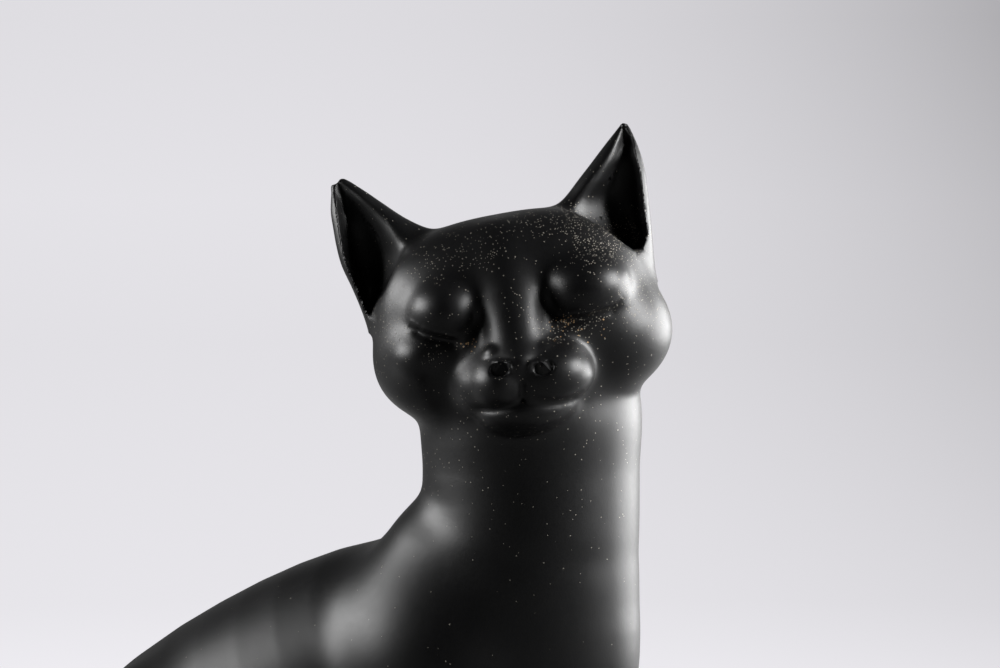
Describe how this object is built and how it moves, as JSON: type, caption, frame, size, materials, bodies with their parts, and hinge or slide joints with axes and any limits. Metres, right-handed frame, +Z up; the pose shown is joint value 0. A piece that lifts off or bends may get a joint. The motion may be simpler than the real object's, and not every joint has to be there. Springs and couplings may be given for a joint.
{
  "type": "ceramic cat figurine",
  "caption": "Seated long-necked cat with closed eyes, luted from hollow satin black castings on a vented slab with felt feet.",
  "frame": {"origin": "middle of the figure's box, on the table under its felt pads", "axes": "+Z up, +X the way the chest faces, -Y the side that the face is turned towards"},
  "size_m": [0.1817, 0.1112, 0.2267],
  "materials": {
    "black_ceramic": "satin",
    "bisque": "matte",
    "felt": "felt"
  },
  "bodies": {
    "root": {"body_shell": "black_ceramic", "head_shell": "black_ceramic", "ear_left": "black_ceramic", "ear_right": "black_ceramic", "foreleg_left": "black_ceramic", "foreleg_right": "black_ceramic", "hind_paw_left": "black_ceramic", "hind_paw_right": "black_ceramic", "tail": "black_ceramic", "base_slab": "bisque", "felt_pad_1": "felt", "felt_pad_2": "felt", "felt_pad_3": "felt", "felt_pad_4": "felt"}
  },
  "joints": []
}
